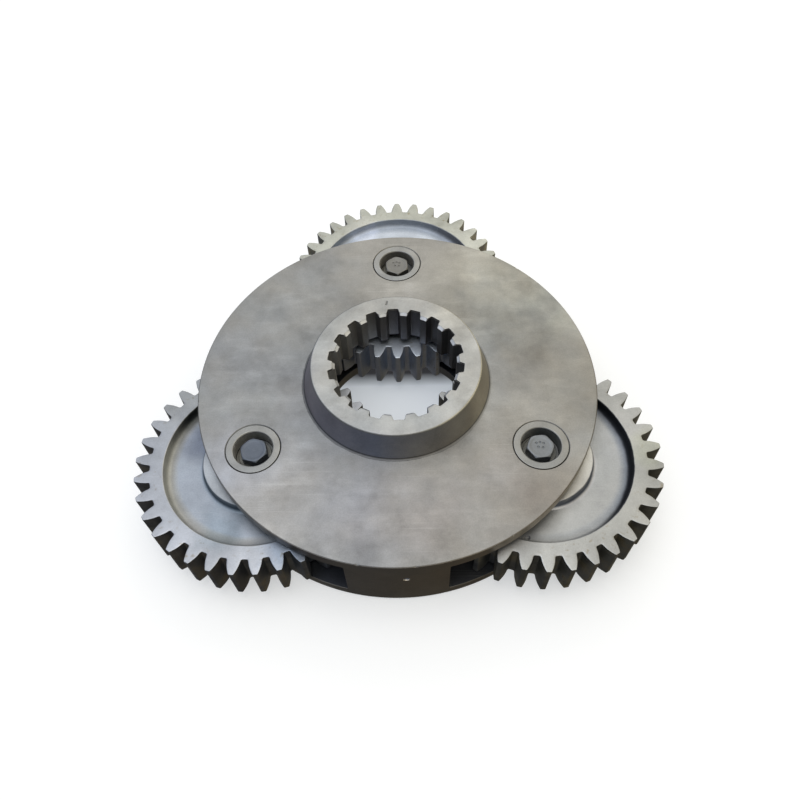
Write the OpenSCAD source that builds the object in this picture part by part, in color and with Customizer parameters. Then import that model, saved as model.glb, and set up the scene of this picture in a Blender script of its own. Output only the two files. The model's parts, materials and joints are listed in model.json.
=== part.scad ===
// Planet carrier assembly of a planetary gear set: a two-plate carrier with a splined output hub,
// and three planet gears on caged needle rollers, each on a pin that is held by one hex bolt.
// The sun gear and the ring gear belong to the neighbouring parts of the gearbox.
// Frame: origin on the main axis at the underside of the lower plate, +Z towards the splined hub.

/* [Gear train] */
// Module of the planet, sun and ring teeth
gear_module = 3.5; // [3.48:0.01:3.52]
// Teeth on each planet gear
planet_teeth = 34; // [33:1:34]
// Teeth on the sun gear that the planets run on; it sets the pin circle
sun_teeth = 14; // [14:1:15]
// Pressure angle of the teeth, degrees
pressure_angle = 20; // [19:0.5:21]
// Tooth thinning for backlash, at the pitch circle
backlash = 0.12; // [0.05:0.01:0.3]
// Face width of a planet gear
face_w = 24; // [22:0.5:24.5]

/* [Planet gear] */
// Diameter of the recess inside the toothed rim
recess_d = 96; // [90:1:98]
// Depth of the recess in each side of the gear
recess_depth = 5; // [3:0.5:7]
// Diameter of the hub boss
boss_d = 55.5; // [50:0.5:60]
// Bore that the needle rollers run in
gear_bore_d = 36; // [36:0.1:36.4]
// Chamfer across the ends of the teeth
tooth_chamfer = 0.7; // [0.3:0.1:1.5]

/* [Carrier] */
// Diameter of both carrier plates
plate_d = 212; // [210:1:216]
// Thickness of the upper plate
upper_plate_t = 7; // [6:0.5:9]
// Thickness of the lower plate
lower_plate_t = 7; // [6.5:0.5:7]
// Height of the pads round the pins, under the upper plate
pad_h = 1; // [0.5:0.25:1]
// Distance from the lower plate to the underside of the gears
gap_below = 2; // [1.9:0.05:2.1]
// Distance from the top of the gears to the underside of the pads
gap_above = 2; // [1.9:0.05:2.1]
// Width of each pillar at the rim
pillar_w = 50.4; // [44:0.2:54]
// Bore of the lower plate, which the sun shaft passes through
lower_bore_d = 84; // [76:1:88]
// Chamfer on the upper edge of the rim
rim_chamfer = 0.5; // [0.3:0.1:1.5]
// Chamfer on the lower edge of the rim
base_chamfer = 1.5; // [0.5:0.1:2]

/* [Splined hub] */
// Height of the hub above the upper plate
hub_h = 15.25; // [12:0.25:20]
// Diameter of the hub at its foot
hub_foot_d = 98.5; // [96:0.5:101]
// Diameter of the hub at its top
hub_top_d = 89.2; // [86:0.2:92]
// Number of spline teeth
spline_teeth = 18; // [16:1:20]
// Diameter over the bottoms of the spline spaces
spline_major_d = 71.25; // [70:0.25:72]
// Diameter across the tips of the spline teeth
spline_minor_d = 63.75; // [62:0.25:65]
// Width of a spline space at its bottom
space_w_outer = 5.4; // [5:0.1:5.8]
// Width of a spline space at the tooth tips
space_w_inner = 7.5; // [7:0.1:7.8]

/* [Pins and bolts] */
// Diameter of the planet pins
pin_d = 28; // [27.8:0.1:28]
// Depth that a pin stands in the lower plate
pin_socket = 2; // [1:0.5:3]
// Diameter of the counterbore in the pin's end
counterbore_d = 20; // [19:0.5:21]
// Depth of the counterbore
counterbore_depth = 8.3; // [8:0.1:9]
// Thread diameter of the pin bolts
bolt_d = 8; // [7.8:0.1:8]
// Width of the hex head across its flats
head_af = 13; // [12.5:0.5:13]
// Height of the hex head
head_h = 5.3; // [5:0.1:5.5]
// Diameter of the washer under the head
washer_d = 17; // [16:0.5:18]
// Thickness of that washer
washer_t = 1.6; // [1.4:0.1:1.8]

/* [Bearings] */
// Needle rollers round each pin
roller_count = 16; // [12:1:16]
// Length of a needle roller
roller_l = 18; // [15:0.5:19]
// Running clearance on each side of the rollers, the cage and the thrust washers
running_gap = 0.15; // [0.1:0.05:0.2]
// Outer diameter of the thrust washers
thrust_d = 42; // [40:1:43]

/* [Hidden] */

$fn = 96;
eps = 0.01;
past = 1;                       // how far a cutting tool runs past the face it opens

// Each planet station: [direction of its pin, turn of the gear, turn of the bolt head]
REAR  = [90, 5.6, 36];
LEFT  = [210, 0, 45];
RIGHT = [330, 4.0, 5.7];
STATIONS = [REAR, LEFT, RIGHT];

// Gear train
pitch_r = gear_module * planet_teeth / 2;
tip_r = pitch_r + gear_module;
root_r = pitch_r - 1.25 * gear_module;
base_r = pitch_r * cos(pressure_angle);
pin_circle_r = gear_module * (planet_teeth + sun_teeth) / 2;
tooth_pitch = 360 / planet_teeth;
flank_steps = 4;

// Heights, from the underside of the lower plate up
gear_z = lower_plate_t + gap_below;
gear_top_z = gear_z + face_w;
pad_z = gear_top_z + gap_above;
upper_plate_z = pad_z + pad_h;
plate_top_z = upper_plate_z + upper_plate_t;
hub_top_z = plate_top_z + hub_h;

// Carrier
plate_r = plate_d / 2;
pad_margin = 0.5;               // what the pads stand out past the thrust washers
pad_r = thrust_d / 2 + pad_margin;
pillar_clear_r = tip_r + 3;     // the pillars are hollowed round the planets at this radius
pillar_inner_r = 58;
hub_fillet = 1;
hub_chamfer = 1;
pin_mouth_chamfer = 0.4;
spline_lead_in = 1.2;
space_corner = 0.6;
spline_turn = 92.7;             // direction of the first space, degrees
space_overlap = 2;              // how far a space's cutter runs in past the tooth tips
space_flare = 0.3;              // what that adds to each side of the space's width
turned_land = 0.3;              // what the hub's chamfer starts outside its top diameter

// Pins, bolts and bearings
edge_break = 0.5;               // small chamfer on the pin's edges
bolt_point = 0.6;
bolt_play = 0.5;                // clearance of the bolt in the pin, on the diameter
washer_play = 0.4;              // clearance of the washer round the bolt, on the diameter
head_land = 0.1;                // what the head's chamfer starts outside its flats
roller_chamfer = 0.3;
counterbore_z = plate_top_z - counterbore_depth;
pin_z = lower_plate_t - pin_socket;
bolt_hole_d = bolt_d + bolt_play;
bolt_tip_z = 0.6;
head_z = counterbore_z + washer_t;
roller_circle_r = (pin_d + gear_bore_d) / 4;
roller_r = (gear_bore_d - pin_d) / 4 - running_gap;
roller_z = gear_z + (face_w - roller_l) / 2;
cage_wall = 1;                  // margin that keeps the cage clear of the pin and the gear bore
cage_ring_h = 2;
cage_z = roller_z - cage_ring_h - running_gap;
cage_h = roller_l + 2 * (cage_ring_h + running_gap);

// Involute function, in degrees
function inv(a) = tan(a) * 180 / PI - a;

// Half of a tooth's angular thickness at radius r
function half_tooth(r) =
    let (pitch_half = (PI * gear_module / 2 - backlash) / 2 / pitch_r * 180 / PI,
         a = acos(min(1, base_r / r)))
    pitch_half + inv(pressure_angle) - inv(a);

function polar(r, a) = [r * cos(a), r * sin(a)];

// One flank from root to tip, as [radius, half angle]
flank_start_r = base_r + 0.25;
flank = [
    [root_r, half_tooth(flank_start_r) + 0.9],
    [root_r + 0.35, half_tooth(flank_start_r) + 0.3],
    for (i = [0:flank_steps])
        let (r = flank_start_r + (tip_r - flank_start_r) * i / flank_steps)
        [r, half_tooth(r)]
];

function tooth(a) = concat(
    [for (p = flank) polar(p[0], a - p[1])],
    [for (i = [len(flank) - 1:-1:0]) polar(flank[i][0], a + flank[i][1])]
);

function points_of(lists) = [for (l = lists) for (p = l) p];

module at_station(station) {
    rotate([0, 0, station[0]])
        translate([pin_circle_r, 0, 0])
            rotate([0, 0, -station[0]])
                children();
}

module at_all_stations() {
    for (station = STATIONS)
        at_station(station) children();
}

// Ring of the given radii and height, standing on z
module ring(outer_r, inner_r, z, h) {
    difference() {
        translate([0, 0, z]) cylinder(r = outer_r, h = h);
        translate([0, 0, z - past]) cylinder(r = inner_r, h = h + 2 * past);
    }
}

// Disc with a chamfer round its lower edge and one round its upper edge
module chamfered_disc(r, z, h, low, high) {
    rotate_extrude()
        polygon(concat(
            [[0, z]],
            low > 0 ? [[r - low, z], [r, z + low]] : [[r, z]],
            high > 0 ? [[r, z + h - high], [r - high, z + h]] : [[r, z + h]],
            [[0, z + h]]
        ));
}

// Outside of the tapered hub, with a hollow fillet at its foot
module hub_body() {
    foot_r = hub_foot_d / 2;
    top_r = hub_top_d / 2;
    fillet = [
        for (i = [0:4])
            let (a = 22.5 * i)
            [foot_r + hub_fillet * (1 - sin(a)), plate_top_z + hub_fillet * (1 - cos(a))]
    ];
    rotate_extrude()
        polygon(concat(
            [[0, plate_top_z]],
            fillet,
            [[top_r + turned_land, hub_top_z - hub_chamfer], [top_r - hub_chamfer, hub_top_z], [0, hub_top_z]]
        ));
}

// Internal spline: the tip circle, the spaces between the teeth and a lead-in at the top
module spline_cut() {
    minor_r = spline_minor_d / 2;
    major_r = spline_major_d / 2;
    depth = hub_top_z - pad_z + 2 * past;
    translate([0, 0, pad_z - past]) {
        cylinder(r = minor_r, h = depth);
        for (i = [0:spline_teeth - 1])
            rotate([0, 0, spline_turn + i * 360 / spline_teeth])
                linear_extrude(depth)
                    polygon([
                        [minor_r - space_overlap, -space_w_inner / 2 - space_flare],
                        [major_r - space_corner, -space_w_outer / 2],
                        [major_r, -space_w_outer / 2 + space_corner],
                        [major_r, space_w_outer / 2 - space_corner],
                        [major_r - space_corner, space_w_outer / 2],
                        [minor_r - space_overlap, space_w_inner / 2 + space_flare]
                    ]);
    }
    translate([0, 0, hub_top_z - spline_lead_in])
        cylinder(r1 = minor_r, r2 = minor_r + spline_lead_in + eps, h = spline_lead_in + eps);
}

// One pillar on +X, hollowed where the planets pass; it runs past the rim and both plates
module pillar() {
    z = lower_plate_t - past;
    h = upper_plate_z - lower_plate_t + 2 * past;
    difference() {
        translate([pillar_inner_r, -pillar_w / 2, z]) cube([plate_r, pillar_w, h]);
        for (side = [-60, 60])
            rotate([0, 0, side])
                translate([pin_circle_r, 0, z - past])
                    cylinder(r = pillar_clear_r, h = h + 2 * past);
    }
}

// The space between the two plates, less the pillars
module windows() {
    difference() {
        translate([0, 0, lower_plate_t])
            cylinder(r = plate_r + past, h = upper_plate_z - lower_plate_t);
        for (station = STATIONS)
            rotate([0, 0, station[0] + 180]) pillar();
    }
}

module carrier() {
    color("dimgray")
        difference() {
            union() {
                difference() {
                    chamfered_disc(plate_r, 0, plate_top_z, base_chamfer, rim_chamfer);
                    windows();
                }
                at_all_stations()
                    translate([0, 0, pad_z]) cylinder(r = pad_r, h = pad_h + eps);
            }
            spline_cut();
            translate([0, 0, -past]) cylinder(r = lower_bore_d / 2, h = lower_plate_t + 2 * past);
            at_all_stations() {
                translate([0, 0, pin_z]) cylinder(r = pin_d / 2, h = plate_top_z);
                translate([0, 0, -past]) cylinder(r = bolt_d / 2, h = plate_top_z);
                translate([0, 0, plate_top_z - pin_mouth_chamfer])
                    cylinder(
                        r1 = pin_d / 2,
                        r2 = pin_d / 2 + pin_mouth_chamfer + eps,
                        h = pin_mouth_chamfer + eps
                    );
            }
        }
}

// The hub is a node of its own: it meets the upper plate face to face
module splined_hub() {
    color("dimgray")
        difference() {
            hub_body();
            spline_cut();
        }
}

module planet_gear(station) {
    outline = points_of([for (i = [0:planet_teeth - 1]) tooth(i * tooth_pitch)]);
    recess_r = recess_d / 2;
    boss_r = boss_d / 2;
    soft = 2;                   // slope where the recess meets the rim and the boss
    color("silver")
        at_station(station)
            difference() {
                intersection() {
                    rotate([0, 0, station[1]])
                        translate([0, 0, gear_z]) linear_extrude(face_w) polygon(outline);
                    chamfered_disc(tip_r + eps, gear_z, face_w, tooth_chamfer, tooth_chamfer);
                }
                translate([0, 0, gear_z - past]) cylinder(r = gear_bore_d / 2, h = face_w + 2 * past);
                for (side = [0, 1])
                    translate([0, 0, gear_z + side * face_w])
                        mirror([0, 0, side])
                            rotate_extrude()
                                polygon([
                                    [boss_r - 0.5, -past], [boss_r - 0.5, 0], [boss_r, 0.5],
                                    [boss_r, recess_depth - soft],
                                    [boss_r + 0.6, recess_depth - 0.6],
                                    [boss_r + soft, recess_depth],
                                    [recess_r - soft - 1, recess_depth],
                                    [recess_r - 1, recess_depth - 0.6],
                                    [recess_r - 0.4, recess_depth - soft],
                                    [recess_r, 0.5], [recess_r + 0.5, 0], [recess_r + 0.5, -past]
                                ]);
            }
}

module planet_pin(station) {
    color("gray")
        at_station(station)
            difference() {
                chamfered_disc(pin_d / 2, pin_z, plate_top_z - pin_z, edge_break, edge_break);
                translate([0, 0, pin_z - past]) cylinder(r = bolt_hole_d / 2, h = plate_top_z);
                translate([0, 0, counterbore_z])
                    cylinder(r = counterbore_d / 2, h = counterbore_depth + past);
                translate([0, 0, plate_top_z - edge_break])
                    cylinder(
                        r1 = counterbore_d / 2,
                        r2 = counterbore_d / 2 + edge_break + eps,
                        h = edge_break + eps
                    );
            }
}

module roller_cage(station) {
    inner_r = pin_d / 2 + cage_wall;
    outer_r = gear_bore_d / 2 - cage_wall;
    color("darkkhaki")
        at_station(station)
            difference() {
                ring(outer_r, inner_r, cage_z, cage_h);
                for (i = [0:roller_count - 1])
                    rotate([0, 0, i * 360 / roller_count])
                        translate([roller_circle_r, 0, cage_z + cage_ring_h])
                            cylinder(r = roller_r + running_gap, h = cage_h - 2 * cage_ring_h);
            }
}

module needle_rollers(station) {
    color("lightgray")
        at_station(station)
            for (i = [0:roller_count - 1])
                rotate([0, 0, i * 360 / roller_count])
                    translate([roller_circle_r, 0, 0])
                        chamfered_disc(roller_r, roller_z, roller_l, roller_chamfer, roller_chamfer);
}

module thrust_washer(station, z, gap) {
    color("darkgoldenrod")
        at_station(station)
            ring(thrust_d / 2, pin_d / 2 + running_gap, z + running_gap, gap - 2 * running_gap);
}

module bolt_washer(station) {
    color("lightgray")
        at_station(station)
            ring(washer_d / 2, (bolt_d + washer_play) / 2, counterbore_z, washer_t);
}

module pin_bolt(station) {
    corner_r = head_af / 2 / cos(30);
    chamfer_r = head_af / 2 + head_land;
    color("slategray")
        at_station(station)
            union() {
                chamfered_disc(bolt_d / 2, bolt_tip_z, head_z - bolt_tip_z + past, bolt_point, 0);
                intersection() {
                    rotate([0, 0, station[2]])
                        translate([0, 0, head_z]) cylinder(r = corner_r, h = head_h, $fn = 6);
                    rotate_extrude()
                        polygon([
                            [0, head_z], [corner_r + eps, head_z],
                            [corner_r + eps, head_z + head_h - (corner_r - chamfer_r) * tan(30)],
                            [chamfer_r, head_z + head_h], [0, head_z + head_h]
                        ]);
                }
            }
}

carrier();
splined_hub();

planet_gear(REAR);  // planet_gear_rear
planet_gear(LEFT);  // planet_gear_left
planet_gear(RIGHT);  // planet_gear_right

planet_pin(REAR);  // planet_pin_rear
planet_pin(LEFT);  // planet_pin_left
planet_pin(RIGHT);  // planet_pin_right

roller_cage(REAR);  // roller_cage_rear
roller_cage(LEFT);  // roller_cage_left
roller_cage(RIGHT);  // roller_cage_right

needle_rollers(REAR);  // needle_rollers_rear
needle_rollers(LEFT);  // needle_rollers_left
needle_rollers(RIGHT);  // needle_rollers_right

thrust_washer(REAR, gear_top_z, gap_above);  // thrust_washer_upper_rear
thrust_washer(LEFT, gear_top_z, gap_above);  // thrust_washer_upper_left
thrust_washer(RIGHT, gear_top_z, gap_above);  // thrust_washer_upper_right

thrust_washer(REAR, lower_plate_t, gap_below);  // thrust_washer_lower_rear
thrust_washer(LEFT, lower_plate_t, gap_below);  // thrust_washer_lower_left
thrust_washer(RIGHT, lower_plate_t, gap_below);  // thrust_washer_lower_right

bolt_washer(REAR);  // bolt_washer_rear
bolt_washer(LEFT);  // bolt_washer_left
bolt_washer(RIGHT);  // bolt_washer_right

pin_bolt(REAR);  // pin_bolt_rear
pin_bolt(LEFT);  // pin_bolt_left
pin_bolt(RIGHT);  // pin_bolt_right
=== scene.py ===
"""Looks of a planet carrier assembly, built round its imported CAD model. Shape sizes are in millimetres."""

import json
import math

import bmesh
import bpy
from mathutils import Matrix, Vector


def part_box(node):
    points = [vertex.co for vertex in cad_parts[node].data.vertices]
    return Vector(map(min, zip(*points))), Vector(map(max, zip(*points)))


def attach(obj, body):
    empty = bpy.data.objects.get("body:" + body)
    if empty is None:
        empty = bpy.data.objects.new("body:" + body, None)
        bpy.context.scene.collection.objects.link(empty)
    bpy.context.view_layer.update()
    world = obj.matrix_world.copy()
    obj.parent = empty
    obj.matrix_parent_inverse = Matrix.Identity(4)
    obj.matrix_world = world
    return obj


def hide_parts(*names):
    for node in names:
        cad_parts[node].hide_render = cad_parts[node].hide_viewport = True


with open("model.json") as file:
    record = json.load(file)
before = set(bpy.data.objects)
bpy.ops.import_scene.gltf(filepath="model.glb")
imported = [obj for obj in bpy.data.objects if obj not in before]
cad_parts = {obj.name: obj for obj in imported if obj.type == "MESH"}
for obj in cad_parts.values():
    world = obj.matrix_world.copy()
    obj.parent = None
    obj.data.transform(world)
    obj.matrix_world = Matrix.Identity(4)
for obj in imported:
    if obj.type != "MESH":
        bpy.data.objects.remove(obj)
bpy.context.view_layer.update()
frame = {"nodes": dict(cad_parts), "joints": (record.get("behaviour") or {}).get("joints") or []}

MM = 0.001
SIDES = ("rear", "left", "right")


# -------------------------------- sizes from the frame


def low(node, axis=2):
    """Lowest coordinate of a CAD node along an axis, in millimetres."""
    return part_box(node)[0][axis] / MM


def high(node, axis=2):
    """Highest coordinate of a CAD node along an axis, in millimetres."""
    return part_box(node)[1][axis] / MM


def half_width(node):
    """Half of a CAD node's size along X, in millimetres."""
    return (high(node, 0) - low(node, 0)) / 2


PIN_AT = {
    joint["child"].replace("planet_", ""): Vector(joint["pos_m"][:2]) / MM
    for joint in frame["joints"]
    if joint["child"].startswith("planet_")
}
RUNNING_GAP = 0.15
PAD_H = 1.0
FIT_GAP = 0.03

PLATE_R = high("carrier", 0)
HUB_TOP = high("splined_hub")
PLATE_TOP = high("planet_pin_rear")
PIN_LOW = low("planet_pin_rear")
PIN_R = half_width("planet_pin_rear")
GEAR_LOW = low("planet_gear_rear")
GEAR_TOP = high("planet_gear_rear")
LOWER_T = low("thrust_washer_lower_rear") - RUNNING_GAP
PAD_Z = high("thrust_washer_upper_rear") + RUNNING_GAP
CEILING = PAD_Z + PAD_H
THRUST_R = half_width("thrust_washer_lower_rear")
PIN_CIRCLE_R = PIN_AT["rear"].length

# Planet gears, each turned by degrees
MODULE = 3.5
TEETH = 34
PRESSURE_ANGLE = math.radians(20)
BACKLASH = 0.12
GEAR_BORE_R = 18.0
BOSS_R = 27.75
RECESS_R = 48.0
RECESS_DEPTH = 5.0
RIM_FROM = RECESS_R + 1.1
PITCH_R = MODULE * TEETH / 2
GEAR_TIP_R = PITCH_R + MODULE
GEAR_ROOT_R = PITCH_R - 1.25 * MODULE
GEAR_TURN = {"rear": 5.6, "left": 0.0, "right": 4.0}
DIMPLE_AT = Vector((-9.0, -43.6))
DIMPLE_R = 1.3

# Oil on the flanks, thin to thick, each (level, colour)
OIL_COLOURS = ((0.38, (0.40, 0.39, 0.37)), (0.52, (0.56, 0.54, 0.49)), (0.66, (0.74, 0.64, 0.48)))

# Each gear's colours from its boss outwards, with others at its front. The three gears are alike, so the
# tones that differ by side are painted light and shade over the steel's own colour: painted shade on the
# boss's wall and at its foot, a painted highlight at the right gear's boss foot, a painted reflection on the
# recess wall and painted light at the front. The recess wall starts at wall_from, and one end of it is
# (axis, start, full, innermost radius, colour), a darker painted shade. The flank tone multiplies the oil's
# colour as painted light, and the front flank tone replaces it with painted light. Each blotch is (x, y,
# reach, factor): stains, and painted light and shade.
GEAR_COLOUR_AND_LIGHT = {
    "rear": {
        "boss": (0.36, 0.37, 0.38),
        "boss_wall": (0.20, 0.21, 0.23),
        "boss_foot": (0.36, 0.39, 0.43),
        "floor": (0.43, 0.465, 0.515),
        "edge": (0.50, 0.545, 0.61),
        "front_edge": (0.50, 0.545, 0.61),
        "wall": (0.37, 0.41, 0.475),
        "wall_from": RECESS_R + 0.2,
        "end_wall": ("X", 10, 40, RECESS_R - 1.8, (0.165, 0.17, 0.18)),
        "rim": (0.38, 0.385, 0.342),
        "front_rim": (0.64, 0.70, 0.78),
        "flank": (1.55, 1.6, 1.7),
        "front_flank": (0.90, 0.91, 0.95),
        "blotches": (
            (47, 32, 17, (1.28, 1.28, 1.30)),
            (-50, 30, 18, (1.14, 1.14, 1.14)),
            (-20, 39, 14, (1.28, 1.27, 1.30)),
        ),
        "flank_blotches": (
            (54, 28, 38, (2.3, 2.25, 2.3)),
            (-54, 28, 38, (1.5, 1.5, 1.5)),
        ),
    },
    "left": {
        "boss": (0.36, 0.38, 0.40),
        "boss_wall": (0.13, 0.165, 0.20),
        "boss_foot": (0.28, 0.32, 0.37),
        "floor": (0.335, 0.365, 0.41),
        "edge": (0.40, 0.40, 0.385),
        "front_edge": (0.41, 0.415, 0.42),
        "wall": (0.54, 0.54, 0.50),
        "wall_from": RECESS_R + 0.2,
        "end_wall": ("Y", 8, 26, RECESS_R - 4, (0.06, 0.07, 0.076)),
        "rim": (0.375, 0.39, 0.42),
        "front_rim": (0.375, 0.39, 0.42),
        "flank": (1.25, 1.29, 1.35),
        "front_flank": None,
        "blotches": (
            (-30, 17, 19, (0.64, 0.66, 0.73)),
            (-15, -38, 16, (0.78, 0.83, 0.85)),
            (20, -48, 20, (0.77, 0.85, 0.95)),
            (-44, 34, 26, (0.88, 0.87, 0.82)),
        ),
        "flank_blotches": (),
    },
    "right": {
        "boss": (0.53, 0.525, 0.505),
        "boss_wall": (0.15, 0.165, 0.20),
        "boss_foot": (0.46, 0.465, 0.49),
        "floor": (0.40, 0.41, 0.42),
        "edge": (0.31, 0.335, 0.375),
        "front_edge": (0.43, 0.44, 0.445),
        "wall": (0.033, 0.036, 0.043),
        "wall_from": RECESS_R - 0.7,
        "end_wall": ("X", 10, 40, RECESS_R - 1.8, (0.033, 0.036, 0.043)),
        "rim": (0.408, 0.415, 0.412),
        "front_rim": (0.408, 0.415, 0.412),
        "flank": (1.25, 1.31, 1.32),
        "front_flank": None,
        "blotches": (
            (-20, -42, 20, (0.83, 0.82, 0.83)),
            (28, 0, 22, (1.12, 1.13, 1.14)),
            (-28, -45, 12, (0.86, 0.85, 0.86)),
            (52, 12, 20, (1.14, 1.14, 1.16)),
            (58, 4, 12, (0.97, 0.985, 0.90)),
        ),
        "flank_blotches": ((46, 42, 46, (1.6, 1.6, 1.6)),),
    },
}

# Splined hub, its spline turned by degrees
SPLINE_TEETH = 18
SPLINE_TURN = 12.7
SPLINE_TIP_R = 31.875
SPACE_FLOOR_R = 35.55
SPACE_HALF_INNER = 3.75
SPACE_HALF_OUTER = 2.7
LEAD_IN = 1.2
SPLINE_BOTTOM = CEILING - 2
HUB_FOOT_R = 49.6
HUB_RIM_R = 44.47

# Carrier plates and pillars
LOWER_BORE_R = 42.0
PILLAR_HALF_W = 25.2
PILLAR_INNER_R = 58.0
PILLAR_CLEAR_R = 66.0
PILLARS_AT = (-90, 30, 150)
VOID_OUTER_R = 112.0
POCKET_FILLET = 1.0
EDGE_BREAK = 0.45

# Wear: the front pillar's dent, chips in the rim as (degrees, radius), and a scribed mark on the hub
DENT_AT = (4.4, -PLATE_R - 0.7, 28.0)
DENT_R = 1.9
RIM_CHIPS = ((260.2, 2.6), (274.8, 2.2), (301, 1.8), (48, 2.4), (121, 1.9), (187, 2.2))
SCRIBE_FROM = Vector((-5.3, 38.7))
SCRIBE_STEP = Vector((0.15, 0.75))
SCRIBE_R = 0.7

# The carrier's steel and the tones that multiply it in places; each of several is (x, tone)
CARRIER_COLOUR = (0.273, 0.273, 0.267)
HUB_FACE_TONE = (1.43, 1.43, 1.42)
# Painted light and shade on the hub's cone, palest on the right and bluer towards the left
CONE_LIGHT_AND_SHADE = (
    (-45, (1.2, 1.12, 1.25)),
    (-10, (0.93, 0.98, 1.17)),
    (20, (1.08, 1.06, 1.08)),
    (45, (1.75, 1.6, 1.35)),
)
# A painted highlight on the lead-in of the splined hole
LEAD_IN_HIGHLIGHT = (2.5, 2.55, 2.7)
# A painted highlight along the hub's rounded top edge, on the right
HUB_EDGE_HIGHLIGHT = ((10, 1.0), (28, (2.2, 2.1, 1.8)), (46, (2.9, 2.75, 2.3)))
# Painted shade in the splined hole, with painted light on its left
SPLINE_LIGHT_AND_SHADE = (
    (-28, (1.6, 1.6, 1.62)),
    (-14, (0.90, 0.90, 0.96)),
    (0, (0.54, 0.54, 0.62)),
    (30, (0.50, 0.51, 0.56)),
)
# Painted shade on all faces between the plates
INSIDE_SHADE = (0.32, 0.34, 0.39)
RIM_TONE = (1.05, 0.97, 0.86)
# Painted shade and light on the rim at the front, darkest on the left and palest on the right
FRONT_RIM_LIGHT_AND_SHADE = (
    (-100, 1.0),
    (-62, (0.46, 0.50, 0.56)),
    (-46, (0.58, 0.60, 0.68)),
    (-26, 1.0),
    (26, 1.0),
    (64, (1.45, 1.45, 1.42)),
    (100, 1.0),
)
CHIP_TONE = (2.2, 2.2, 2.1)
# Bright metal in the dent, brightened further as a painted highlight on its lower lip
DENT_METAL_AND_HIGHLIGHT = (3.0, 3.0, 3.0)
# Painted shade in the crease round the hub's foot
FOOT_SHADE = (0.5, 0.5, 0.51)

# Darker and paler places on the carrier: stains, and a painted shadow of the hub on the plate at its left
# foot; each is (x, y, reach, factor)
PLATE_BLOTCHES = (
    (75, -66, 20, (0.92, 0.89, 0.87)),
    (48, -72, 50, (0.93, 0.92, 0.93)),
    (95, 8, 45, (0.98, 0.945, 0.885)),
    (62, 64, 52, (1.13, 1.12, 1.05)),
    (-52, -70, 55, (1.03, 1.04, 1.09)),
    (-60, -60, 16, (1.06, 1.06, 1.06)),
    (-2, -82, 42, (0.94, 0.925, 0.95)),
    (-88, -50, 30, (1.22, 1.22, 1.27)),
    (-62, 54, 42, (1.11, 1.10, 1.08)),
    (-86, 16, 32, (1.09, 1.08, 1.08)),
    (-52, -8, 18, (0.91, 0.91, 0.93)),
    (-36, -42, 17, (0.90, 0.89, 0.88)),
    (30, 56, 26, (0.88, 0.885, 0.895)),
    (12, 41, 12, (0.90, 0.90, 0.91)),
    (74, -20, 18, (1.17, 1.17, 1.17)),
    (57, -56, 17, (1.11, 1.11, 1.13)),
    (92, -44, 20, (1.13, 1.14, 1.16)),
    (82, 52, 17, (1.14, 1.15, 1.14)),
    (98, 33, 15, (1.13, 1.14, 1.13)),
)

# Pins, and bolts with their heads turned by degrees
COUNTERBORE_R = 10.0
COUNTERBORE_Z = PLATE_TOP - 8.3
BOLT_HOLE_R = 4.25
HEAD_TURN = {"rear": 36.0, "left": 45.0, "right": 5.7}
HEAD_FLAT_R = 6.5
HEAD_CORNER_R = HEAD_FLAT_R / math.cos(math.pi / 6)
PUNCH_MARKS = ((-2.1, 1.9), (-0.2, 2.3), (1.6, 1.7), (-1.2, -0.4), (1.0, -0.7))
PUNCH_R = 0.75
THREAD_R = 4.0
THREAD_PITCH = 1.25
THREAD_DEPTH = 0.7
THREAD_LENGTH = 22
BOLT_COLOUR = {
    "rear": (0.19, 0.187, 0.177),
    "left": (0.117, 0.132, 0.16),
    "right": (0.20, 0.212, 0.228),
}
PIN_COLOUR = (0.272, 0.272, 0.264)
PIN_EDGE_DIRT = (0.05, 0.048, 0.045)

# Painted light on the wall of each pin's well, lightest on the left, each (x, tone), and painted shade on
# its floor
WELL_WALL_LIGHT = {
    "rear": ((-8, (3.0, 2.95, 2.9)), (0, (2.0, 1.95, 1.9))),
    "left": ((-8, (3.5, 3.5, 3.55)), (0, (2.3, 2.35, 2.4))),
    "right": ((-8, (3.1, 3.15, 3.2)), (0, (1.3, 1.4, 1.5))),
}
WELL_FLOOR_SHADE = (0.5, 0.5, 0.5)

# The room's light from straight down, 0, to straight up, 1, at the front and at the back, and its tint
# from left to right; each is (level, colour)
FRONT_LEVELS = (
    (0.20, (0.088, 0.078, 0.066)),
    (0.34, (0.100, 0.110, 0.135)),
    (0.55, (0.135, 0.142, 0.155)),
    (0.67, (0.78, 0.78, 0.78)),
    (1.0, (0.90, 0.90, 0.90)),
)
BACK_LEVELS = (
    (0.20, (0.16, 0.155, 0.15)),
    (0.45, (0.30, 0.31, 0.33)),
    (0.72, (0.78, 0.78, 0.78)),
    (1.0, (0.90, 0.90, 0.90)),
)
SIDE_TINTS = ((0.34, (0.91, 0.965, 1.07)), (0.66, (1.06, 0.995, 0.83)))


# -------------------------------- outlines and meshes


def polar(radius, angle):
    return Vector((radius * math.cos(angle), radius * math.sin(angle)))


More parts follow.
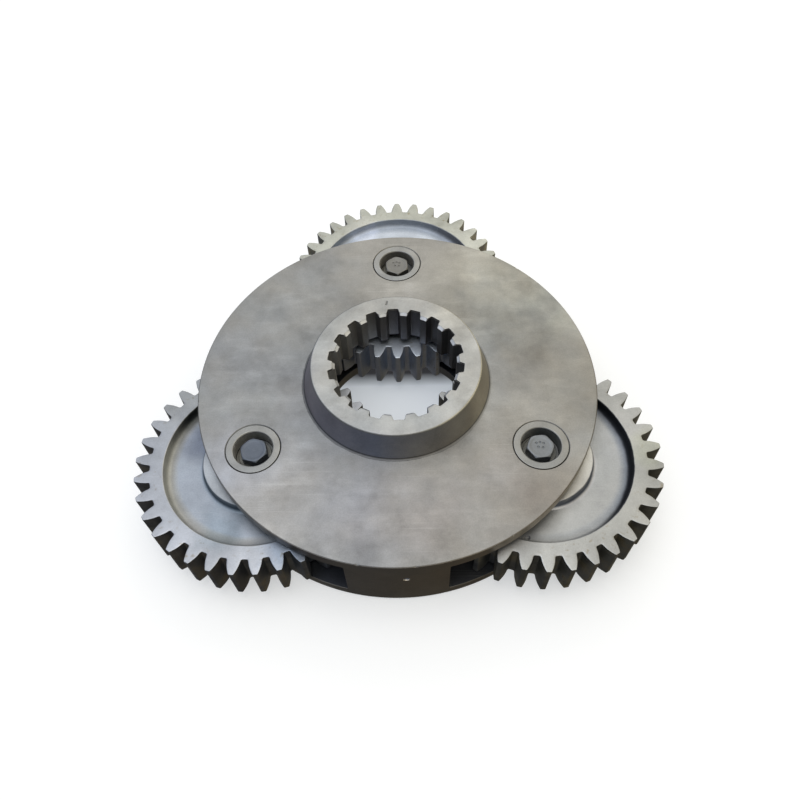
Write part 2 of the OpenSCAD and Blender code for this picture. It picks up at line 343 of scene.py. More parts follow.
def rounded(corners, steps=4, closed=True):
    """The points of an outline whose corners, each (x, y, radius), are rounded by arcs."""
    out = []
    count = len(corners)
    for i, (x, y, radius) in enumerate(corners):
        here = Vector((x, y))
        at_end = not closed and i in (0, count - 1)
        if radius <= 0 or at_end:
            out.append(here)
            continue
        before = Vector(corners[i - 1][:2]) - here
        after = Vector(corners[(i + 1) % count][:2]) - here
        half = before.angle(after) / 2
        reach = min(radius / math.tan(half), 0.48 * before.length, 0.48 * after.length)
        bisector = (before.normalized() + after.normalized()).normalized()
        centre = here + bisector * reach / math.cos(half)
        start = here + before.normalized() * reach - centre
        end = here + after.normalized() * reach - centre
        sweep = math.atan2(start.x * end.y - start.y * end.x, start.dot(end))
        for k in range(steps + 1):
            turn = Matrix.Rotation(sweep * k / steps, 2)
            out.append(centre + turn @ start)
    return out


def grown(points, distance):
    """A closed anticlockwise outline moved outwards by a distance."""
    out = []
    count = len(points)
    for i, p in enumerate(points):
        a = (p - points[i - 1]).normalized()
        b = (points[(i + 1) % count] - p).normalized()
        along = (a + b).normalized()
        stretch = 1 / max(along.dot(b), 0.5)
        out.append(p + Vector((along.y, -along.x)) * distance * stretch)
    return out


def split_long(points, longest):
    """A closed outline with extra points, so that no side is longer than a length."""
    out = []
    for i, p in enumerate(points):
        q = points[(i + 1) % len(points)]
        parts = max(1, math.ceil((q - p).length / longest))
        out += [p.lerp(q, k / parts) for k in range(parts)]
    return out


def turned(points, degrees):
    turn = Matrix.Rotation(math.radians(degrees), 2)
    return [turn @ p for p in points]


def angles_of(points):
    return [math.atan2(p.y, p.x) for p in points]


def even_angles(count):
    return [math.tau * i / count for i in range(count)]


def circle(radius, angles):
    return [polar(radius, a) for a in angles]


def at_height(points, z):
    return [(p.x, p.y, z) for p in points]


def section_rings(section, angles):
    """One ring of points for each (radius, height) of a section."""
    return [at_height(circle(p.x, angles), p.y) for p in section]


def skin(rings, joined=True):
    """Points and faces through rings of equally many points.
    A joined skin's last ring meets its first, and any other is capped at both ends."""
    count = len(rings[0])
    points = [p for ring in rings for p in ring]
    faces = []
    for i in range(len(rings) if joined else len(rings) - 1):
        a = i * count
        b = (i + 1) % len(rings) * count
        for j in range(count):
            k = (j + 1) % count
            faces.append((a + j, a + k, b + k, b + j))
    if not joined:
        last = (len(rings) - 1) * count
        faces.append(tuple(reversed(range(count))))
        faces.append(tuple(range(last, last + count)))
    return points, faces


def placed(name, data, place):
    """A new object in the scene, at a place in metres."""
    obj = bpy.data.objects.new(name, data)
    bpy.context.scene.collection.objects.link(obj)
    obj.location = place
    return obj


def mesh_piece(name, points, faces, place=(0, 0)):
    """A mesh object from points in millimetres, with its own origin at place in X and Y."""
    mesh = bpy.data.meshes.new(name)
    mesh.from_pydata([Vector(p) * MM for p in points], [], faces)
    bm = bmesh.new()
    bm.from_mesh(mesh)
    bmesh.ops.recalc_face_normals(bm, faces=bm.faces)
    bm.to_mesh(mesh)
    bm.free()
    return placed(name, mesh, (place[0] * MM, place[1] * MM, 0))


def lathe(name, corners, segments=128, steps=4, place=(0, 0)):
    """A ring-shaped solid: a closed section of corners (radius, height, rounding), spun round Z."""
    section = rounded(corners, steps)
    return mesh_piece(name, *skin(section_rings(section, even_angles(segments))), place)


def smooth(obj, angle=35):
    """Smooth shading that stays crisp at sharp edges and flat on flat faces."""
    mesh = obj.data
    mesh.polygons.foreach_set("use_smooth", [True] * len(mesh.polygons))
    mesh.set_sharp_from_angle(angle=math.radians(angle))
    weighted = obj.modifiers.new("even_normals", "WEIGHTED_NORMAL")
    weighted.keep_sharp = True
    weighted.weight = 90


def apply_modifiers(obj):
    graph = bpy.context.evaluated_depsgraph_get()
    mesh = bpy.data.meshes.new_from_object(obj.evaluated_get(graph))
    old = obj.data
    obj.modifiers.clear()
    obj.data = mesh
    bpy.data.meshes.remove(old)


def combine(obj, tools, operation):
    """Joins the tools to obj, or cuts them out of it, and removes them."""
    for tool in tools:
        boolean = obj.modifiers.new("combine", "BOOLEAN")
        boolean.object = tool
        boolean.operation = operation
        boolean.solver = "EXACT"
        apply_modifiers(obj)
        bpy.data.objects.remove(tool)


def clean(obj, gap=0.002):
    """Welds points that lie on each other and drops faces with no area."""
    bm = bmesh.new()
    bm.from_mesh(obj.data)
    bmesh.ops.remove_doubles(bm, verts=bm.verts, dist=gap * MM)
    bmesh.ops.dissolve_degenerate(bm, edges=bm.edges, dist=gap * MM)
    bmesh.ops.recalc_face_normals(bm, faces=bm.faces)
    bm.to_mesh(obj.data)
    bm.free()


def add_bevel(obj, width, angle):
    bevel = obj.modifiers.new("edges", "BEVEL")
    bevel.width = width * MM
    bevel.segments = 2
    bevel.limit_method = "ANGLE"
    bevel.angle_limit = math.radians(angle)
    bevel.use_clamp_overlap = True
    bevel.miter_outer = "MITER_ARC"
    apply_modifiers(obj)


# -------------------------------- the carrier


def spline_outline():
    """Outline of the splined hole, with rounded tooth tips and space corners."""
    tip_rounding = 0.5
    floor_rounding = 0.7
    longest_side = 0.85
    half_space = math.asin(SPACE_HALF_INNER / SPLINE_TIP_R)
    corners = []
    for middle in even_angles(SPLINE_TEETH):
        turn = Matrix.Rotation(middle, 2)
        for side in (-1, 1):
            tip = turn @ polar(SPLINE_TIP_R, side * half_space)
            floor = turn @ Vector((SPACE_FLOOR_R, side * SPACE_HALF_OUTER))
            pair = [(*tip, tip_rounding), (*floor, floor_rounding)]
            corners += pair if side < 0 else pair[::-1]
    outline = []
    for p in split_long(rounded(corners, 3), longest_side):
        on_tip_land = p.length < SPLINE_TIP_R
        outline.append(p.normalized() * SPLINE_TIP_R if on_tip_land else p)
    return turned(outline, SPLINE_TURN)


def not_inside(points, radius):
    """Moves points that are nearer the axis than a radius out to it."""
    return [p if p.length > radius else p.normalized() * radius for p in points]


def not_outside(points, radius):
    """Moves points that are further from the axis than a radius in to it."""
    return [p if p.length < radius else p.normalized() * radius for p in points]


def drum():
    """Plates, hub and splined hole as one turned solid, still without its windows."""
    outline = spline_outline()
    angles = angles_of(outline)
    lower_chamfer = 1.5
    outside = rounded(
        [
            (LOWER_BORE_R, LOWER_T + 2, 0),
            (LOWER_BORE_R, 0, 0.6),
            (PLATE_R - lower_chamfer, 0, 0.5),
            (PLATE_R, lower_chamfer, 0.5),
            (PLATE_R, PLATE_TOP - EDGE_BREAK, 0.25),
            (PLATE_R - EDGE_BREAK, PLATE_TOP, 0.25),
            (HUB_FOOT_R, PLATE_TOP, 1.0),
            (HUB_RIM_R, HUB_TOP, 0.9),
            (SPACE_FLOOR_R + 1.2, HUB_TOP, 0),
        ],
        closed=False,
    )
    mouth = not_inside(outline, SPLINE_TIP_R + LEAD_IN)
    inside = [
        at_height(grown(mouth, 0.3), HUB_TOP),
        at_height(grown(mouth, 0.1), HUB_TOP - 0.1),
        at_height(mouth, HUB_TOP - 0.35),
        at_height(outline, HUB_TOP - LEAD_IN - 0.2),
        at_height(outline, SPLINE_BOTTOM),
    ]
    return mesh_piece("carrier_casting", *skin(section_rings(outside, angles) + inside))


def pillar_side():
    """Half of the outline of a pillar that points along X, as corners (x, y, rounding)."""
    planet = polar(PIN_CIRCLE_R, math.radians(60))
    inner_half = planet.y - math.sqrt(PILLAR_CLEAR_R**2 - (PILLAR_INNER_R - planet.x) ** 2)
    bend_x = planet.x + math.sqrt(PILLAR_CLEAR_R**2 - (planet.y - PILLAR_HALF_W) ** 2)
    start = math.atan2(inner_half - planet.y, PILLAR_INNER_R - planet.x)
    end = math.atan2(PILLAR_HALF_W - planet.y, bend_x - planet.x)
    arc_steps = 10
    side = [(PILLAR_INNER_R, inner_half, 2.5)]
    for k in range(1, arc_steps):
        p = planet + polar(PILLAR_CLEAR_R, start + (end - start) * k / arc_steps)
        side.append((p.x, p.y, 0))
    side.append((bend_x, PILLAR_HALF_W, 3.0))
    side.append((math.sqrt(VOID_OUTER_R**2 - PILLAR_HALF_W**2), PILLAR_HALF_W, 0))
    return side


def window_cutter():
    """The space between the plates, less the three pillars, with rounded pocket corners."""
    side = pillar_side()
    mirrored = [(x, -y, r) for x, y, r in reversed(side)]
    rim_half = math.asin(PILLAR_HALF_W / VOID_OUTER_R)
    rim_steps = 40
    corners = []
    for pillar_at in PILLARS_AT:
        turn = Matrix.Rotation(math.radians(pillar_at), 2)
        for x, y, r in mirrored + side:
            corners.append((*(turn @ Vector((x, y))), r))
        first = math.radians(pillar_at) + rim_half
        span = math.radians(120) - 2 * rim_half
        for k in range(1, rim_steps):
            corners.append((*polar(VOID_OUTER_R, first + span * k / rim_steps), 0))
    outline = rounded(corners, 3)
    levels = []
    fillet_steps = 4
    for k in range(fillet_steps + 1):
        a = math.pi / 2 * k / fillet_steps
        levels.append((POCKET_FILLET * (1 - math.sin(a)), LOWER_T + POCKET_FILLET * (1 - math.cos(a))))
    levels += [(inset, LOWER_T + CEILING - z) for inset, z in reversed(levels)]
    rings = [at_height(grown(outline, -inset), z) for inset, z in levels]
    return mesh_piece("window_cutter", *skin(rings, joined=False))


def solid_turned(name, section, place, segments=96):
    """A solid with a flat cap at each end, from an open section of (radius, height)."""
    rings = section_rings([Vector(p) for p in section], even_angles(segments))
    return mesh_piece(name, *skin(rings, joined=False), place)


def dent_cutter(place, radius):
    """A ball for cutting a dent, chip or punch mark."""
    bm = bmesh.new()
    bmesh.ops.create_icosphere(bm, subdivisions=2, radius=radius * MM)
    mesh = bpy.data.meshes.new("dent")
    bm.to_mesh(mesh)
    bm.free()
    return placed("dent", mesh, Vector(place) * MM)


def wear_cutters():
    """The dent in the front pillar, chips in the rim's edge and a scribed mark on the hub's face."""
    balls = [dent_cutter(DENT_AT, DENT_R)]
    for degrees, radius in RIM_CHIPS:
        x, y = polar(PLATE_R + 0.5 * radius, math.radians(degrees))
        balls.append(dent_cutter((x, y, PLATE_TOP + 0.5 * radius), radius))
    for k in range(4):
        x, y = SCRIBE_FROM + k * SCRIBE_STEP
        balls.append(dent_cutter((x, y, HUB_TOP + 0.5 * SCRIBE_R), SCRIBE_R))
    return balls


def pad(side):
    """The flat pad above a planet gear, on the underside of the upper plate."""
    rim_r = THRUST_R + 0.5
    edge = 0.3
    section = [(rim_r - edge, PAD_Z), (rim_r, PAD_Z + edge), (rim_r, CEILING + 1)]
    return solid_turned("pad", section, PIN_AT[side])


def pin_bore(side):
    """The hole for a pin: through the upper plate and into the lower one."""
    bore_r = PIN_R + FIT_GAP
    mouth_r = bore_r + EDGE_BREAK
    section = [(bore_r, PIN_LOW), (bore_r, PLATE_TOP - EDGE_BREAK)]
    section += [(mouth_r, PLATE_TOP), (mouth_r, PLATE_TOP + 2)]
    return solid_turned("pin_bore", section, PIN_AT[side])


def tapped_hole(side):
    """The hole for a bolt's thread in the lower plate."""
    thread_r = THREAD_R + 0.05
    chamfer = 0.5
    mouth_r = thread_r + chamfer
    section = [(mouth_r, -1), (mouth_r, 0), (thread_r, chamfer), (thread_r, PIN_LOW + 1)]
    return solid_turned("tapped_hole", section, PIN_AT[side], 48)


def build_carrier():
    """The carrier and its hub as one piece, with softened edges and wear."""
    body = drum()
    combine(body, [window_cutter()], "DIFFERENCE")
    combine(body, [pad(side) for side in SIDES], "UNION")
    bores = [pin_bore(side) for side in SIDES]
    tapped = [tapped_hole(side) for side in SIDES]
    combine(body, bores + tapped, "DIFFERENCE")
    clean(body)
    add_bevel(body, 0.3, 50)
    combine(body, wear_cutters(), "DIFFERENCE")
    clean(body)
    smooth(body)
    return body


# -------------------------------- planet gears, pins and bolts


def involute(angle):
    return math.tan(angle) - angle


def gear_outline():
    """Outline of the planet gear: involute flanks, rounded tips and filleted roots."""
    base_r = PITCH_R * math.cos(PRESSURE_ANGLE)
    half_at_pitch = (math.pi * MODULE / 2 - BACKLASH) / 2 / PITCH_R
    first_r = base_r + 1.1
    steps = 6

    def half(radius):
        return half_at_pitch + involute(PRESSURE_ANGLE) - involute(math.acos(base_r / radius))

    flank = []
    for k in range(steps + 1):
        radius = first_r + (GEAR_TIP_R - first_r) * k / steps
        flank.append((radius, half(radius), 0.6 if k == steps else 0))
    root = (GEAR_ROOT_R, half(base_r + 0.3) + math.radians(0.25), 1.1)
    corners = []
    for middle in even_angles(TEETH):
        corners.append((*polar(GEAR_ROOT_R, middle - math.pi / TEETH), 0))
        for radius, angle, rounding in [root] + flank:
            corners.append((*polar(radius, middle - angle), rounding))
        corners.append((*polar(GEAR_TIP_R, middle), 0))
        for radius, angle, rounding in reversed([root] + flank):
            corners.append((*polar(radius, middle + angle), rounding))
    return rounded(corners, 3)


def build_gear(side, outline):
    """A planet gear with recessed webs and softened edges, the same above and below."""
    outline = turned(outline, GEAR_TURN[side])
    angles = angles_of(outline)
    middle = (GEAR_LOW + GEAR_TOP) / 2
    floor = GEAR_TOP - RECESS_DEPTH
    web = rounded(
        [
            (GEAR_BORE_R, middle, 0),
            (GEAR_BORE_R, GEAR_TOP, 0.5),
            (BOSS_R, GEAR_TOP, 0.6),
            (BOSS_R + 0.3, floor, 1.8),
            (RECESS_R - 0.6, floor, 2.6),
            (RECESS_R, GEAR_TOP, 0.6),
            (GEAR_ROOT_R - 1.5, GEAR_TOP, 0),
        ],
        closed=False,
    )
    upper = section_rings(web, angles)
    for inset, drop in ((0.4, 0), (0.12, 0.12), (0, 0.4)):
        upper.append(at_height(grown(outline, -inset), GEAR_TOP - drop))
    lower = [[(x, y, 2 * middle - z) for x, y, z in ring] for ring in reversed(upper)]
    gear = mesh_piece(f"gear_{side}", *skin(upper + lower[:-1]), PIN_AT[side])
    if side == "right":
        dimple = dent_cutter((*(PIN_AT[side] + DIMPLE_AT), floor + 0.4), DIMPLE_R)
        combine(gear, [dimple], "DIFFERENCE")
        clean(gear)
    smooth(gear)
    return gear


def build_pin(side):
    """A hollow pin with a counterbore for the bolt's head."""
    outer_r = PIN_R - 0.02
    return lathe(
        f"pin_{side}",
        [
            (BOLT_HOLE_R, PIN_LOW, 0.4),
            (outer_r, PIN_LOW, 0.8),
            (outer_r, PLATE_TOP, 0.4),
            (COUNTERBORE_R, PLATE_TOP, 0.7),
            (COUNTERBORE_R, COUNTERBORE_Z, 0.4),
            (BOLT_HOLE_R, COUNTERBORE_Z, 0.2),
        ],
        place=PIN_AT[side],
    )


def thread_ring(angles, z, share):
    """One level of the bolt's thread, with a flat crest and root; share fades the groove out."""
    ring = []
    for a in angles:
        turn = (z / THREAD_PITCH - a / math.tau) % 1
        groove = min(1, max(0, 1.3 * abs(2 * turn - 1) - 0.15))
        ring.append((*polar(THREAD_R - THREAD_DEPTH * groove * share, a), z))
    return ring


def shank_rings(angles, tip_z, head_z):
    """A bolt's threaded end, its plain shank and the narrow bearing face under its head."""
    tip_chamfer = 0.6
    steps_per_turn = 6
    thread_top = tip_z + THREAD_LENGTH
    rings = [at_height(circle(THREAD_R - 1.0, angles), tip_z)]
    levels = int(THREAD_LENGTH / THREAD_PITCH * steps_per_turn)
    for k in range(levels + 1):
        z = tip_z + tip_chamfer + (THREAD_LENGTH - tip_chamfer) * k / levels
        share = min(1, (thread_top - z) / THREAD_PITCH)
        rings.append(thread_ring(angles, z, share))
    bearing_r = HEAD_FLAT_R - 0.35
    section = rounded(
        [
            (THREAD_R, thread_top + 0.5, 0),
            (THREAD_R, head_z, 0.3),
            (bearing_r, head_z, 0.1),
            (bearing_r, head_z + 0.35, 0),
        ],
        2,
        closed=False,
    )
    return rings + section_rings(section, angles)


def head_rings(outline, head_z, top_z):
    """A bolt's hex head: chamfered corners, soft edges and a shallow dish in its top."""
    flat_r = HEAD_FLAT_R + 0.1
    slope = math.tan(math.pi / 6)
    rings = [at_height(grown(outline, -0.2), head_z + 0.35), at_height(outline, head_z + 0.55)]
    shoulder = [top_z - 0.16 - max(0, p.length - flat_r) * slope for p in outline]
    rings.append([(p.x, p.y, z - 0.14) for p, z in zip(outline, shoulder)])
    rings.append([(p.x, p.y, z) for p, z in zip(grown(outline, -0.06), shoulder)])
    rim = not_outside(grown(outline, -0.22), flat_r)
    rings.append(at_height(rim, top_z - 0.05))
    rings.append(at_height(not_outside(grown(rim, -0.25), flat_r), top_z))
    dish = ((5.3, 0), (5.0, 0.1), (4.8, 0.14), (3.0, 0.14), (1.0, 0.14))
    for radius, drop in dish:
        rings.append(at_height(circle(radius, angles_of(outline)), top_z - drop))
    return rings


def build_bolt(side):
    """A hex bolt with a thread; the right and rear ones have punch marks in their heads."""
    head_z = high(f"bolt_washer_{side}")
    top_z = high(f"pin_bolt_{side}")
    tip_z = low(f"pin_bolt_{side}")
    hexagon = [(*polar(HEAD_CORNER_R, a), 0.4) for a in even_angles(6)]
    outline = turned(split_long(rounded(hexagon, 2), 0.9), HEAD_TURN[side])
    rings = shank_rings(angles_of(outline), tip_z, head_z) + head_rings(outline, head_z, top_z)
    bolt = mesh_piece(f"bolt_{side}", *skin(rings, joined=False), PIN_AT[side])
    if side != "left":
        punched = [PIN_AT[side] + Vector(mark) for mark in PUNCH_MARKS]
        combine(bolt, [dent_cutter((*place, top_z + 0.15), PUNCH_R) for place in punched], "DIFFERENCE")
        clean(bolt)
    smooth(bolt, 30)
    return bolt


def flat_ring(name, node, side, inner, outer, edges):
    """A washer as thick as its CAD node, with its inner and outer edges rounded."""
    z, top = low(node), high(node)
    at_inner, at_outer = edges
    section = [(inner, z, at_inner), (outer, z, at_outer), (outer, top, at_outer), (inner, top, at_inner)]
    return lathe(name, section, segments=96, steps=3, place=PIN_AT[side])


def build_bolt_washer(side):
    node = f"bolt_washer_{side}"
    return flat_ring(f"washer_{side}", node, side, THREAD_R + 0.2, half_width(node), (0.15, 0.3))


def build_thrust_washer(level, side):
    node = f"thrust_washer_{level}_{side}"
    return flat_ring(f"thrust_{level}_{side}", node, side, PIN_R + RUNNING_GAP, THRUST_R, (0.2, 0.35))


# -------------------------------- materials


class Nodes:
    """A short way to add nodes to a tree and link them."""

    def __init__(self, tree):
        self.tree = tree
        self.tree.nodes.clear()

    def add(self, kind, settings=None, **inputs):
        node = self.tree.nodes.new(kind)
        for key, value in (settings or {}).items():
            setattr(node, key, value)
        for key, value in inputs.items():
            self.feed(node.inputs[key.replace("_", " ")], value)
        return node

    def feed(self, socket, value):
        if isinstance(value, bpy.types.NodeSocket):
            self.tree.links.new(value, socket)
        else:
            socket.default_value = value

    def math(self, operation, a, b=0.0):
        node = self.add("ShaderNodeMath", {"operation": operation})
        self.feed(node.inputs[0], a)
        self.feed(node.inputs[1], b)
        return node.outputs[0]

    def all_of(self, *masks):
        """The product of masks."""
        product = masks[0]
        for mask in masks[1:]:
            product = self.math("MULTIPLY", product, mask)
        return product

    def scaled(self, value, factor, offset=0.5):
        """A value times a factor, plus an offset."""
        return self.math("ADD", self.math("MULTIPLY", value, factor), offset)

    def ramp(self, value, *stops):
        """Maps a value to colours or greys; each stop is (position, colour)."""
        node = self.add("ShaderNodeValToRGB", Fac=value)
        elements = node.color_ramp.elements
        while len(elements) < len(stops):
            elements.new(0.5)
        for element, (position, colour) in zip(elements, stops):
            if isinstance(colour, (int, float)):
                colour = (colour, colour, colour)
            element.position = position
            element.color = (*colour, 1)
        return node.outputs["Color"]

    def mix(self, factor, a, b, blend="MIX"):
        node = self.add("ShaderNodeMix", {"data_type": "RGBA", "blend_type": blend})
        self.feed(node.inputs[0], factor)
        for socket, value in ((node.inputs[6], a), (node.inputs[7], b)):
            self.feed(socket, value if isinstance(value, bpy.types.NodeSocket) else (*value, 1))
        return node.outputs[2]

    def product(self, a, b):
        return self.mix(1.0, a, b, "MULTIPLY")

    def times(self, mask, base, factor):
        """Multiplies a colour by a factor where the mask is 1."""
        return self.mix(mask, base, self.product(base, factor))


class Shader(Nodes):
    """A material under construction, with masks and ramps by place on its object."""

    def __init__(self, name):
        self.material = bpy.data.materials.new(name)
        self.material.use_nodes = True
        super().__init__(self.material.node_tree)
        self.surface = self.add("ShaderNodeBsdfPrincipled")
        self.add("ShaderNodeOutputMaterial", Surface=self.surface.outputs[0])
        self.place = self.add("ShaderNodeTexCoord").outputs["Object"]

    def settings(self, **values):
        """Sets or links inputs of the surface."""
        for key, value in values.items():
            self.feed(self.surface.inputs[key.replace("_", " ")], value)

    def noise(self, scale, detail=4, roughness=0.55, vector=None):
        node = self.add(
            "ShaderNodeTexNoise",
            Vector=self.place if vector is None else vector,
            Scale=scale,
            Detail=detail,
            Roughness=roughness,
        )
        return node.outputs["Fac"]

    def stretched(self, turn, scale):
        """The object's own coordinates, turned by degrees round Z and scaled."""
        node = self.add("ShaderNodeMapping", Vector=self.place)
        node.inputs["Rotation"].default_value = (0, 0, math.radians(turn))
        node.inputs["Scale"].default_value = scale
        return node.outputs[0]

    def axis(self, letter):
        """The object's own X, Y or Z, in metres."""
        return self.add("ShaderNodeSeparateXYZ", Vector=self.place).outputs[letter]

    def radius(self):
        """Distance from the object's own Z axis, in metres."""
        squares = [self.math("POWER", self.axis(letter), 2.0) for letter in "XY"]
        return self.math("SQRT", self.math("ADD", *squares))

    def along(self, letter, reach, *stops):
        """Maps X, Y or Z to colours; each stop is (millimetres, colour), up to reach on both sides of 0."""
        share = self.scaled(self.axis(letter), 0.5 / (reach * MM))
        return self.ramp(share, *[(0.5 + at / (2 * reach), colour) for at, colour in stops])

    def outwards(self, distance, reach, *stops):
        """Maps a distance in metres to colours; each stop is (millimetres, colour), up to reach."""
        share = self.math("MULTIPLY", distance, 1 / (reach * MM))
        return self.ramp(share, *[(at / reach, colour) for at, colour in stops])

    def within(self, value, lowest, highest):
        """1 where a length in metres lies between two limits in millimetres, 0 elsewhere."""
        node = self.add("ShaderNodeMath", {"operation": "COMPARE"})
        self.feed(node.inputs[0], value)
        node.inputs[1].default_value = (lowest + highest) / 2 * MM
        node.inputs[2].default_value = (highest - lowest) / 2 * MM
        return node.outputs[0]

    def zone(self, heights, radii):
        """1 between two heights and between two distances from the Z axis, in millimetres, 0 elsewhere."""
        return self.all_of(self.within(self.axis("Z"), *heights), self.within(self.radius(), *radii))


def shade(colour, factor):
    return tuple(c * factor for c in colour)


def blotches(s, base, places):
    """Multiplies a colour by a factor round each place; each is (x, y, reach, factor)."""
    flat = s.add("ShaderNodeVectorMath", {"operation": "MULTIPLY"})
    s.feed(flat.inputs[0], s.place)
    flat.inputs[1].default_value = (1, 1, 0)
    wobble = s.math("MULTIPLY", s.math("SUBTRACT", s.noise(45, 4), 0.5), 0.03)
    for x, y, reach, factor in places:
        gap = s.add("ShaderNodeVectorMath", {"operation": "DISTANCE"})
        s.feed(gap.inputs[0], flat.outputs[0])
        gap.inputs[1].default_value = (x * MM, y * MM, 0)
        share = s.math("DIVIDE", s.math("ADD", gap.outputs["Value"], wobble), reach * MM)
        base = s.times(s.ramp(share, (0.35, 1), (1.0, 0)), base, factor)
    return base


def scratches(s):
    """Thin straight marks in three directions, as a grey value."""
    marks = 0.0
    for turn, width in ((24, 1500), (-38, 1100), (81, 1900)):
        line = s.noise(1, 2, 0.5, s.stretched(turn, (14, width, 14)))
        mark = s.ramp(line, (0.66, 0), (0.74, 1))
        marks = s.math("MAXIMUM", mark, marks)
    patches = s.ramp(s.noise(30, 2), (0.48, 0), (0.62, 1))
    return s.math("MULTIPLY", marks, patches)


def worn(s, base, colour):
    """Adds fine grain and scratches to a steel's colour, and returns it with both as greys."""
    grain = s.noise(1400, 3, 0.7)
    base = s.mix(0.22, base, s.ramp(grain, (0.3, 0.55), (0.7, 1.25)), "MULTIPLY")
    marks = scratches(s)
    base = s.mix(s.math("MULTIPLY", marks, 0.14), base, shade(colour, 1.7))
    return base, grain, marks


def steepness(s):
    """1 on upright faces, 0 on level ones."""
    normal = s.add("ShaderNodeNewGeometry").outputs["Normal"]
    split = s.add("ShaderNodeSeparateXYZ", Vector=normal)
    return s.ramp(s.math("ABSOLUTE", split.outputs["Z"]), (0.25, 1), (0.75, 0))


def surface(s, base, rough, grain, turning):
    """Connects a metal's colour, roughness and relief; turning is the depth of its turning marks."""
    height = s.math("MULTIPLY", grain, 0.5)
    if turning:
        flat = {"noise_dimensions": "1D"}
        rings = s.add("ShaderNodeTexNoise", flat, W=s.radius(), Scale=2600.0, Detail=2.0)
        height = s.math("ADD", height, s.math("MULTIPLY", rings.outputs["Fac"], turning))
    bump = s.add("ShaderNodeBump", Height=height, Strength=0.12, Distance=0.0002)
    s.settings(Base_Color=base, Metallic=1.0, Roughness=rough, Normal=bump.outputs[0])


def stained(s, colour):
    """A steel's colour with broad clouds, small blotches and pale smears; also the clouds alone."""
    broad = s.math("MULTIPLY", s.noise(18, 6, 0.62), 0.6)
    small = s.math("MULTIPLY", s.noise(80, 5, 0.6), 0.4)
    clouds = s.math("ADD", broad, small)
    base = s.ramp(clouds, (0.36, shade(colour, 0.80)), (0.5, colour), (0.64, shade(colour, 1.15)))
    base = s.product(base, s.ramp(s.noise(14, 4), (0.38, (0.97, 1.0, 1.035)), (0.62, (1.03, 1.0, 0.945))))
    smears = s.noise(1, 4, 0.6, s.stretched(20, (26, 90, 26)))
    base = s.product(base, s.ramp(smears, (0.52, 1.0), (0.70, 1.16)))
    return base, clouds


def finished(s, base, clouds, colour, roughness, turning):
    """Adds wear to a stained steel and connects it."""
    base, grain, marks = worn(s, base, colour)
    rough = s.ramp(clouds, (0.35, roughness + 0.07), (0.65, roughness - 0.05))
    rough = s.math("SUBTRACT", rough, s.math("MULTIPLY", marks, 0.08))
    surface(s, base, rough, grain, turning)
    return s.material


def steel(name, colour, roughness):
    """Bare steel or bronze."""
    s = Shader(name)
    base, clouds = stained(s, colour)
    return finished(s, base, clouds, colour, roughness, 0.0)


def pin_steel(side):
    """A pin, black with oily dirt at its edge, with painted light on the wall of its well, lightest on the
    left, and painted shade on the well's floor.
    """
    s = Shader(f"pin_steel_{side}")
    base, clouds = stained(s, PIN_COLOUR)
    dirty = s.math("GREATER_THAN", s.radius(), (PIN_R - 0.25) * MM)
    base = s.mix(dirty, base, PIN_EDGE_DIRT)
    seat_z = COUNTERBORE_Z + 0.6
    # Painted light on the well's wall, lightest on the left
    wall = s.zone((seat_z, PLATE_TOP - 0.4), (COUNTERBORE_R - 1, COUNTERBORE_R + 0.3))
    base = s.times(wall, base, s.along("X", 10, *WELL_WALL_LIGHT[side]))
    # Painted shade on the well's floor
    seat = s.zone((PIN_LOW, seat_z), (BOLT_HOLE_R - 1.25, COUNTERBORE_R + 0.3))
    base = s.times(seat, base, WELL_FLOOR_SHADE)
    return finished(s, base, clouds, PIN_COLOUR, 0.42, 0.5)


def hub_tones(s, base):
    """The hub: its freshly faced end with a painted highlight on its edge, painted light and shade on its
    cone, a painted highlight on its lead-in and painted shade in its spline, lighter on the left.
    """
    face_z = HUB_TOP - 0.1
    lead_in_z = HUB_TOP - LEAD_IN - 0.25
    lead_in_r = SPLINE_TIP_R + LEAD_IN + 0.175
    base = s.times(s.within(s.axis("Z"), face_z, HUB_TOP + 1), base, HUB_FACE_TONE)
    cone = s.zone((PLATE_TOP + 0.9, HUB_TOP - 0.9), (HUB_RIM_R - 0.5, HUB_FOOT_R + 1.4))
    base = s.times(cone, base, s.along("X", 50, *CONE_LIGHT_AND_SHADE))
    base = s.times(s.zone((lead_in_z, face_z), (0, lead_in_r)), base, LEAD_IN_HIGHLIGHT)
    edge = s.zone((HUB_TOP - 0.85, face_z), (HUB_RIM_R - 1.5, HUB_RIM_R + 1))
    base = s.times(edge, base, s.along("X", 50, *HUB_EDGE_HIGHLIGHT))
    spline = s.zone((CEILING, lead_in_z), (0, SPACE_FLOOR_R + 1.45))
    return s.times(spline, base, s.along("X", 50, *SPLINE_LIGHT_AND_SHADE))


def rim_tones(s, base):
    """The brown rim, with painted shade and light in places at the front, bright metal in its chips, and
    bright metal with a painted highlight in its dent.
    """
    rim = s.within(s.radius(), PLATE_R - 0.3, PLATE_R + 1)
    base = s.times(rim, base, RIM_TONE)
    upper = s.within(s.axis("Z"), CEILING, PLATE_TOP - EDGE_BREAK)
    front = s.math("LESS_THAN", s.axis("Y"), -20 * MM)
    base = s.times(s.all_of(rim, upper, front), base, s.along("X", 100, *FRONT_RIM_LIGHT_AND_SHADE))
    chips = s.zone((CEILING + 0.6, PLATE_TOP - 0.06), (PLATE_R - 4, PLATE_R - 0.5))
    base = s.times(chips, base, CHIP_TONE)
    dent = s.all_of(
        s.within(s.axis("X"), DENT_AT[0] - 1.6, DENT_AT[0] + 1.6),
        s.zone((DENT_AT[2] - 1.7, DENT_AT[2] + 0.9), (PLATE_R - 3, PLATE_R + 1)),
        s.math("LESS_THAN", s.axis("Y"), 0.0),
    )
    return s.times(dent, base, DENT_METAL_AND_HIGHLIGHT)


